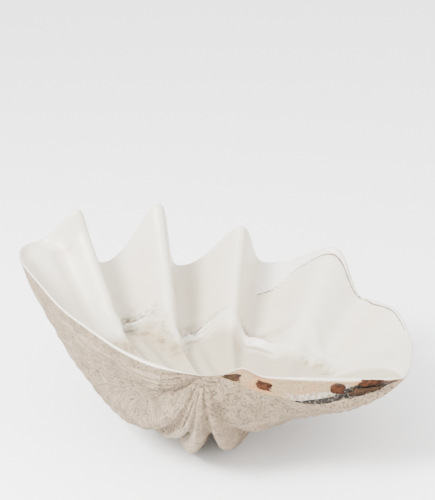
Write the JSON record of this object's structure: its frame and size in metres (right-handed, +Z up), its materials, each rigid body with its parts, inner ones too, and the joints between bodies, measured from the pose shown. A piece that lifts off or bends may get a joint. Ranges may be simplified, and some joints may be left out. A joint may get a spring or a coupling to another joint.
{
  "type": "giant clam shell",
  "caption": "Single deep-ribbed valve of a giant clam with a scalloped rim, lying bowl up on its ribs, with scraps of dried ligament on the hinge plate.",
  "frame": {"origin": "middle of the bounding box at the level of the surface the valve lies on", "axes": "+X along the hinge line from the beak to the hinge's back end, +Y from the hinge across the bowl to the scalloped far rim, +Z up out of the bowl"},
  "size_m": [0.6956, 0.577, 0.3252],
  "materials": {
    "shell": "smooth porcelain inside with a low natural gloss, chalky and pitted beige-grey outside; real material is aragonite shell",
    "ligament_rust": "dried, cracked rust-brown ligament",
    "ligament_dark": "dried, crumbly dark brown to black ligament"
  },
  "bodies": {
    "root": {"valve": "shell", "ligament_scrap_beak": "ligament_dark", "ligament_scrap_front": "ligament_rust", "ligament_scrap_middle": "ligament_rust", "ligament_scrap_back": "ligament_rust", "ligament_crust": "ligament_dark"}
  },
  "joints": []
}
